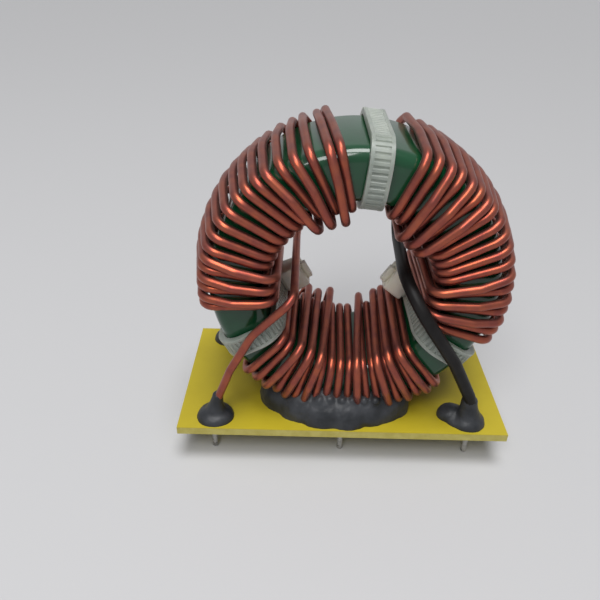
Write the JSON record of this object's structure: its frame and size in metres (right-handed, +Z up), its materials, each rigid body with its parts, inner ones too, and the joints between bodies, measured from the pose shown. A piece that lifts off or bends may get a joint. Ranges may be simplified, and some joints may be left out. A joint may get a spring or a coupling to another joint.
{
  "type": "toroidal inductor",
  "caption": "Toroidal inductor: enamelled wire windings on a coated ring core, stood on edge on a bare board with solder pins, held by cable ties and silicone.",
  "frame": {"origin": "on the plane of the pin tips, under the middle of the board", "axes": "+Z up, X along the board and across the ring, +Y from the front to the back through the ring's hole"},
  "size_m": [0.062, 0.033, 0.0617],
  "materials": {
    "core_coating": "glossy green epoxy coating over the powder core",
    "enamelled_wire": "glossy reddish enamel over copper",
    "natural_nylon": "natural nylon, slightly translucent",
    "sleeve": "dark soft sleeve",
    "board_laminate": "yellow glass-epoxy laminate without copper",
    "silicone": "cured dark grey silicone, semi-gloss",
    "tinned_pin": "tinned",
    "solder": "solder"
  },
  "bodies": {
    "root": {"core": "core_coating", "winding_left": "enamelled_wire", "winding_right": "enamelled_wire", "winding_bottom": "enamelled_wire", "tie_top": "natural_nylon", "tie_lower_left": "natural_nylon", "tie_lower_right": "natural_nylon", "lead_sleeve": "sleeve", "base_board": "board_laminate", "silicone_bed": "silicone", "silicone_cone_front_left": "silicone", "silicone_cone_front_right": "silicone", "silicone_cone_rear_left": "silicone", "silicone_cone_rear_right": "silicone", "pin_front_left": "tinned_pin", "pin_front_centre": "tinned_pin", "pin_front_right": "tinned_pin", "pin_rear_left": "tinned_pin", "pin_rear_centre": "tinned_pin", "pin_rear_right": "tinned_pin", "solder_joints": "solder"}
  },
  "joints": []
}
